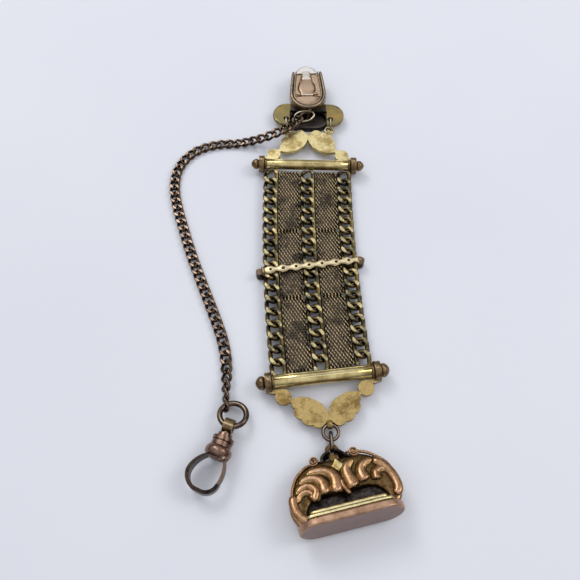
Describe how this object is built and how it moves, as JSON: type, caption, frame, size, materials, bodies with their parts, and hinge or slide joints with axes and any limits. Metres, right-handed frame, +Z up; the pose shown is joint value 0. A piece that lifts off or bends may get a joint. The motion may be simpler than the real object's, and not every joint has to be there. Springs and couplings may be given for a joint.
{
  "type": "pocket watch fob",
  "caption": "Vest fob lying on its front: chain and mesh strap between two bars, with a slider, spring clip, safety chain with swivel snap, and a hanging scroll seal.",
  "frame": {"origin": "middle of the footprint, on the table that the fob lies on", "axes": "+Y along the fob towards the clip, +X to the right of the strap, +Z up from the table"},
  "size_m": [0.0533, 0.125, 0.0088],
  "materials": {
    "mesh_brass": "woven, darkened",
    "oxidised_brass": "darkened, worn bright on the edges",
    "strap_brass": "filed bright on top, dark between",
    "rose_gold": "satin rose gold plate",
    "rose_gold_worn": "worn rose gold plate",
    "aged_brass": "greenish, dull",
    "yellow_brass": "polished, lightly worn"
  },
  "bodies": {
    "strap_middle": {"mesh_middle_left": "mesh_brass", "mesh_middle_right": "mesh_brass", "chain_middle_left": "strap_brass", "chain_middle_centre": "strap_brass", "chain_middle_right": "strap_brass"},
    "strap_upper": {"mesh_upper_left": "mesh_brass", "mesh_upper_right": "mesh_brass", "chain_upper_left": "strap_brass", "chain_upper_centre": "strap_brass", "chain_upper_right": "strap_brass", "top_bar_tube": "yellow_brass"},
    "strap_lower": {"mesh_lower_left": "mesh_brass", "mesh_lower_right": "mesh_brass", "chain_lower_left": "strap_brass", "chain_lower_centre": "strap_brass", "chain_lower_right": "strap_brass", "bottom_bar_tube": "yellow_brass"},
    "slider": {"slider_front_strip": "yellow_brass", "slider_back_plate": "yellow_brass", "slider_end_posts": "yellow_brass"},
    "top_hanger": {"top_hanger": "yellow_brass", "top_bar_rod": "yellow_brass", "top_bar_finials": "yellow_brass"},
    "crest_links": {"crest_links": "yellow_brass"},
    "crest_rings": {"crest_rings": "yellow_brass"},
    "crest": {"crest_back_plate": "aged_brass", "crest_front": "aged_brass", "clip_front_jaw": "yellow_brass", "clip_housing": "rose_gold", "clip_hinge_pin": "yellow_brass", "clip_spring": "aged_brass", "chain_eye": "yellow_brass"},
    "clip_lever": {"clip_lever": "rose_gold"},
    "chain_ring_large": {"chain_ring_large": "oxidised_brass"},
    "chain_ring_small": {"chain_ring_small": "oxidised_brass"},
    "chain_1": {"safety_chain_1": "oxidised_brass"},
    "chain_2": {"safety_chain_2": "oxidised_brass"},
    "chain_3": {"safety_chain_3": "oxidised_brass"},
    "chain_4": {"safety_chain_4": "oxidised_brass"},
    "chain_5": {"safety_chain_5": "oxidised_brass"},
    "chain_6": {"safety_chain_6": "oxidised_brass"},
    "chain_7": {"safety_chain_7": "oxidised_brass"},
    "chain_8": {"safety_chain_8": "oxidised_brass"},
    "swivel_ring": {"swivel_ring": "oxidised_brass"},
    "swivel_head": {"swivel_stem": "rose_gold_worn"},
    "snap": {"swivel_barrel": "rose_gold", "snap_hook": "rose_gold_worn", "gate_pin": "rose_gold_worn"},
    "gate": {"snap_gate": "rose_gold_worn"},
    "bottom_hanger": {"bottom_hanger": "yellow_brass", "bottom_bar_rod": "yellow_brass", "bottom_bar_finials": "yellow_brass"},
    "bottom_ring": {"bottom_jump_ring": "yellow_brass"},
    "bail": {"seal_bail": "yellow_brass"},
    "seal": {"seal_eye": "yellow_brass", "seal_scroll_left": "rose_gold", "seal_scroll_right": "rose_gold", "seal_platform": "yellow_brass", "seal_base_plate": "rose_gold"}
  },
  "joints": [
    {"name": "strap_fold_upper", "type": "hinge", "parent": "strap_middle", "child": "strap_upper", "pos_m": [0.00909, 0.0086, 0.0015], "axis": [0.9998, 0.0217, 0], "range_deg": [-10, 10]},
    {"name": "strap_fold_lower", "type": "hinge", "parent": "strap_middle", "child": "strap_lower", "pos_m": [0.00988, -0.00972, 0.0015], "axis": [0.9978, 0.0655, 0], "range_deg": [-10, 10]},
    {"name": "slider_slide", "type": "slide", "parent": "strap_middle", "child": "slider", "axis": [0.0463, -0.9989, 0], "range_m": [-0.004, 0.004]},
    {"name": "top_hanger_swing", "type": "hinge", "parent": "strap_upper", "child": "top_hanger", "pos_m": [0.00913, 0.02858, 0.0025], "axis": [0.9997, -0.0262, 0], "range_deg": [-15, 15]},
    {"name": "crest_link_swing", "type": "hinge", "parent": "top_hanger", "child": "crest_links", "pos_m": [0.00943, 0.03992, 0.002], "axis": [-0.9997, 0.0262, 0], "range_deg": [0, 15]},
    {"name": "crest_ring_swing", "type": "hinge", "parent": "crest_links", "child": "crest_rings", "pos_m": [0.00948, 0.04207, 0.002], "axis": [-0.9997, 0.0262, 0], "range_deg": [0, 12]},
    {"name": "crest_swing", "type": "hinge", "parent": "crest_rings", "child": "crest", "pos_m": [0.00955, 0.04472, 0.00198], "axis": [-0.9997, 0.0262, 0], "range_deg": [0, 8]},
    {"name": "clip_lever_press", "type": "hinge", "parent": "crest", "child": "clip_lever", "pos_m": [0.00949, 0.05195, 0.0037], "axis": [0.9997, 0.0262, 0], "range_deg": [0, 10], "stiffness_Nm_per_rad": 0.02},
    {"name": "chain_ring_large_swing", "type": "hinge", "parent": "crest", "child": "chain_ring_large", "pos_m": [0.0099, 0.04634, 0.0035], "axis": [-0.9997, 0.0262, 0], "range_deg": [0, 12]},
    {"name": "chain_ring_small_swing", "type": "hinge", "parent": "chain_ring_large", "child": "chain_ring_small", "pos_m": [0.00909, 0.04462, 0.00227], "axis": [0.5205, 0.4213, 0.7427], "range_deg": [0, 8]},
    {"name": "chain_start_swing", "type": "hinge", "parent": "chain_ring_small", "child": "chain_1", "pos_m": [0.00672, 0.04288, 0.00404], "axis": [0.2586, 0.2279, 0.9387], "range_deg": [0, 3]},
    {"name": "chain_bend_2", "type": "hinge", "parent": "chain_1", "child": "chain_2", "pos_m": [-0.00385, 0.0374, 0.0024], "axis": [0, 0, 1], "range_deg": [-14, 2]},
    {"name": "chain_bend_3", "type": "hinge", "parent": "chain_2", "child": "chain_3", "pos_m": [-0.0168, 0.03657, 0.00055], "axis": [0, 0, -1], "range_deg": [-3, 14]},
    {"name": "chain_bend_4", "type": "hinge", "parent": "chain_3", "child": "chain_4", "pos_m": [-0.02516, 0.02723, 0.00055], "axis": [0, 0, 1], "range_deg": [-14, 3]},
    {"name": "chain_bend_5", "type": "hinge", "parent": "chain_4", "child": "chain_5", "pos_m": [-0.02337, 0.01419, 0.00055], "axis": [0, 0, -1], "range_deg": [-4, 14]},
    {"name": "chain_bend_6", "type": "hinge", "parent": "chain_5", "child": "chain_6", "pos_m": [-0.01916, 0.00158, 0.00055], "axis": [0, 0, 1], "range_deg": [-14, 5]},
    {"name": "chain_bend_7", "type": "hinge", "parent": "chain_6", "child": "chain_7", "pos_m": [-0.01427, -0.01077, 0.00055], "axis": [0, 0, -1], "range_deg": [-6, 14]},
    {"name": "chain_bend_8", "type": "hinge", "parent": "chain_7", "child": "chain_8", "pos_m": [-0.01002, -0.02334, 0.00059], "axis": [0, 0, 1], "range_deg": [-14, 8]},
    {"name": "swivel_ring_swing", "type": "hinge", "parent": "chain_8", "child": "swivel_ring", "pos_m": [-0.00937, -0.03594, 0.00174], "axis": [-0.7239, -0.6541, 0.2195], "range_deg": [-6, 6]},
    {"name": "swivel_head_swing", "type": "hinge", "parent": "swivel_ring", "child": "swivel_head", "pos_m": [-0.00815, -0.04055, 0.00285], "axis": [-0.9426, 0.3338, 0], "range_deg": [-8, 8]},
    {"name": "snap_spin", "type": "hinge", "parent": "swivel_head", "child": "snap", "pos_m": [-0.00815, -0.04055, 0.00285], "axis": [-0.3338, -0.9426, 0], "continuous": true},
    {"name": "snap_gate_press", "type": "hinge", "parent": "snap", "child": "gate", "pos_m": [-0.00877, -0.04736, 0.00285], "axis": [0, 0, -1], "range_deg": [0, 18], "stiffness_Nm_per_rad": 0.005},
    {"name": "bottom_hanger_swing", "type": "hinge", "parent": "strap_lower", "child": "bottom_hanger", "pos_m": [0.01167, -0.02962, 0.0025], "axis": [-0.9936, -0.1132, 0], "range_deg": [-15, 15]},
    {"name": "bottom_ring_swing", "type": "hinge", "parent": "bottom_hanger", "child": "bottom_ring", "pos_m": [0.01286, -0.04005, 0.002], "axis": [-0.9936, -0.1132, 0], "range_deg": [-12, 12]},
    {"name": "bail_swing", "type": "hinge", "parent": "bottom_ring", "child": "bail", "pos_m": [0.0131, -0.04328, 0.002], "axis": [-0.9936, -0.1132, 0], "range_deg": [-8, 8]},
    {"name": "seal_swing", "type": "hinge", "parent": "bail", "child": "seal", "pos_m": [0.01317, -0.04542, 0.0015], "axis": [0, 0, 1], "range_deg": [-10, 10]}
  ]
}
